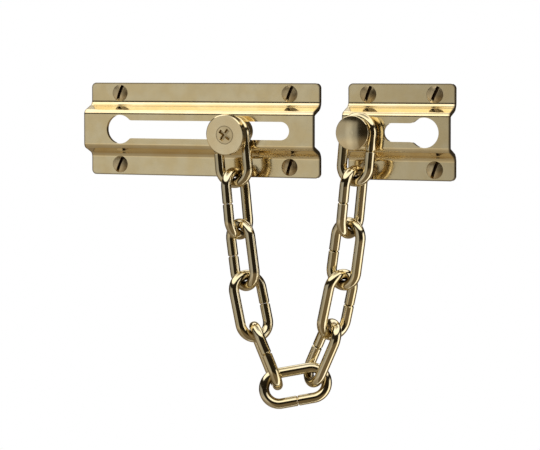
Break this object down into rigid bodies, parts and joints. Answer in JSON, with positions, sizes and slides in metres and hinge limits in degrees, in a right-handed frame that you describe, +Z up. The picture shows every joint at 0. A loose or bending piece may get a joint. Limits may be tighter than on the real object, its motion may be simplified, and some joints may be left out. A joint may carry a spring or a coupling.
{
  "type": "door chain",
  "caption": "Brass door chain: a keyhole track plate, a short keeper plate with a stud, and a chain of oval wire links hanging between a sliding runner and the stud.",
  "frame": {"origin": "middle of the track plate's four screws, on the door's face", "axes": "+X along the track towards the keeper plate, +Y into the door, +Z up"},
  "size_m": [0.1579, 0.0391, 0.1286],
  "materials": {
    "pressed_brass": "polished sheet",
    "turned_brass": "turned and lacquered",
    "screw_brass": "plain",
    "wire_brass": "bright plated wire"
  },
  "bodies": {
    "base": {"track_plate": "pressed_brass", "keeper_plate": "pressed_brass", "keeper_stud": "turned_brass", "track_screw_upper_left": "screw_brass", "track_screw_upper_right": "screw_brass", "track_screw_lower_left": "screw_brass", "track_screw_lower_right": "screw_brass", "keeper_screw_upper_left": "screw_brass", "keeper_screw_upper_right": "screw_brass", "keeper_screw_lower_left": "screw_brass", "keeper_screw_lower_right": "screw_brass"},
    "runner": {"runner_body": "turned_brass", "runner_head": "turned_brass", "runner_screw": "screw_brass"},
    "link_01": {"chain_link_01": "wire_brass"},
    "link_02": {"chain_link_02": "wire_brass"},
    "link_03": {"chain_link_03": "wire_brass"},
    "link_04": {"chain_link_04": "wire_brass"},
    "link_05": {"chain_link_05": "wire_brass"},
    "link_06": {"chain_link_06": "wire_brass"},
    "link_07": {"chain_link_07": "wire_brass"},
    "link_08": {"chain_link_08": "wire_brass"},
    "link_09": {"chain_link_09": "wire_brass"},
    "link_10": {"chain_link_10": "wire_brass"},
    "link_11": {"chain_link_11": "wire_brass"}
  },
  "joints": [
    {"name": "runner_slide", "type": "slide", "parent": "base", "child": "runner", "axis": [1, 0, 0], "range_m": [-0.054, 0.02]},
    {"name": "link_01_swing", "type": "hinge", "parent": "runner", "child": "link_01", "pos_m": [0.0166, -0.01153, -0.00193], "axis": [0, 1, 0], "range_deg": [-23.81, 8.95]},
    {"name": "link_02_swing", "type": "hinge", "parent": "link_01", "child": "link_02", "pos_m": [0.01813, -0.01148, -0.0187], "axis": [0, 1, 0], "range_deg": [-1.5, 3.71]},
    {"name": "link_03_swing", "type": "hinge", "parent": "link_02", "child": "link_03", "pos_m": [0.0205, -0.01232, -0.03923], "axis": [0, 1, 0], "range_deg": [-1.28, 3.12]},
    {"name": "link_04_swing", "type": "hinge", "parent": "link_03", "child": "link_04", "pos_m": [0.02362, -0.01312, -0.05966], "axis": [0, 1, 0], "range_deg": [-1.15, 2.77]},
    {"name": "link_05_swing", "type": "hinge", "parent": "link_04", "child": "link_05", "pos_m": [0.02816, -0.01391, -0.07983], "axis": [0, 1, 0], "range_deg": [-1.11, 2.66]},
    {"name": "link_06_swing", "type": "hinge", "parent": "link_05", "child": "link_06", "pos_m": [0.03801, -0.01479, -0.10038], "axis": [0, 1, 0], "range_deg": [-6.77, 17.95]},
    {"name": "link_11_swing", "type": "hinge", "parent": "base", "child": "link_11", "pos_m": [0.071, -0.01238, -0.00023], "axis": [0, 1, 0], "range_deg": [-7.21, 19.12]},
    {"name": "link_10_swing", "type": "hinge", "parent": "link_11", "child": "link_10", "pos_m": [0.06947, -0.01242, -0.017], "axis": [0, 1, 0], "range_deg": [-2.04, 0.88]},
    {"name": "link_09_swing", "type": "hinge", "parent": "link_10", "child": "link_09", "pos_m": [0.06712, -0.01158, -0.03753], "axis": [0, 1, 0], "range_deg": [-2.02, 0.87]},
    {"name": "link_08_swing", "type": "hinge", "parent": "link_09", "child": "link_08", "pos_m": [0.06401, -0.01078, -0.05796], "axis": [0, 1, 0], "range_deg": [-2.03, 0.88]},
    {"name": "link_07_swing", "type": "hinge", "parent": "link_08", "child": "link_07", "pos_m": [0.0595, -0.00999, -0.07814], "axis": [0, 1, 0], "range_deg": [-2.17, 0.93]}
  ],
  "couplings": [
    {"joint": "link_01_swing", "follows": "runner_slide", "rad_per_m": 7.6324},
    {"joint": "link_02_swing", "follows": "runner_slide", "rad_per_m": -1.1334},
    {"joint": "link_03_swing", "follows": "runner_slide", "rad_per_m": -0.94434},
    {"joint": "link_04_swing", "follows": "runner_slide", "rad_per_m": -0.83049},
    {"joint": "link_05_swing", "follows": "runner_slide", "rad_per_m": -0.79562},
    {"joint": "link_06_swing", "follows": "runner_slide", "rad_per_m": -5.7374},
    {"joint": "link_11_swing", "follows": "runner_slide", "rad_per_m": -6.1137},
    {"joint": "link_10_swing", "follows": "runner_slide", "rad_per_m": 0.59592},
    {"joint": "link_09_swing", "follows": "runner_slide", "rad_per_m": 0.58828},
    {"joint": "link_08_swing", "follows": "runner_slide", "rad_per_m": 0.59206},
    {"joint": "link_07_swing", "follows": "runner_slide", "rad_per_m": 0.63627}
  ]
}
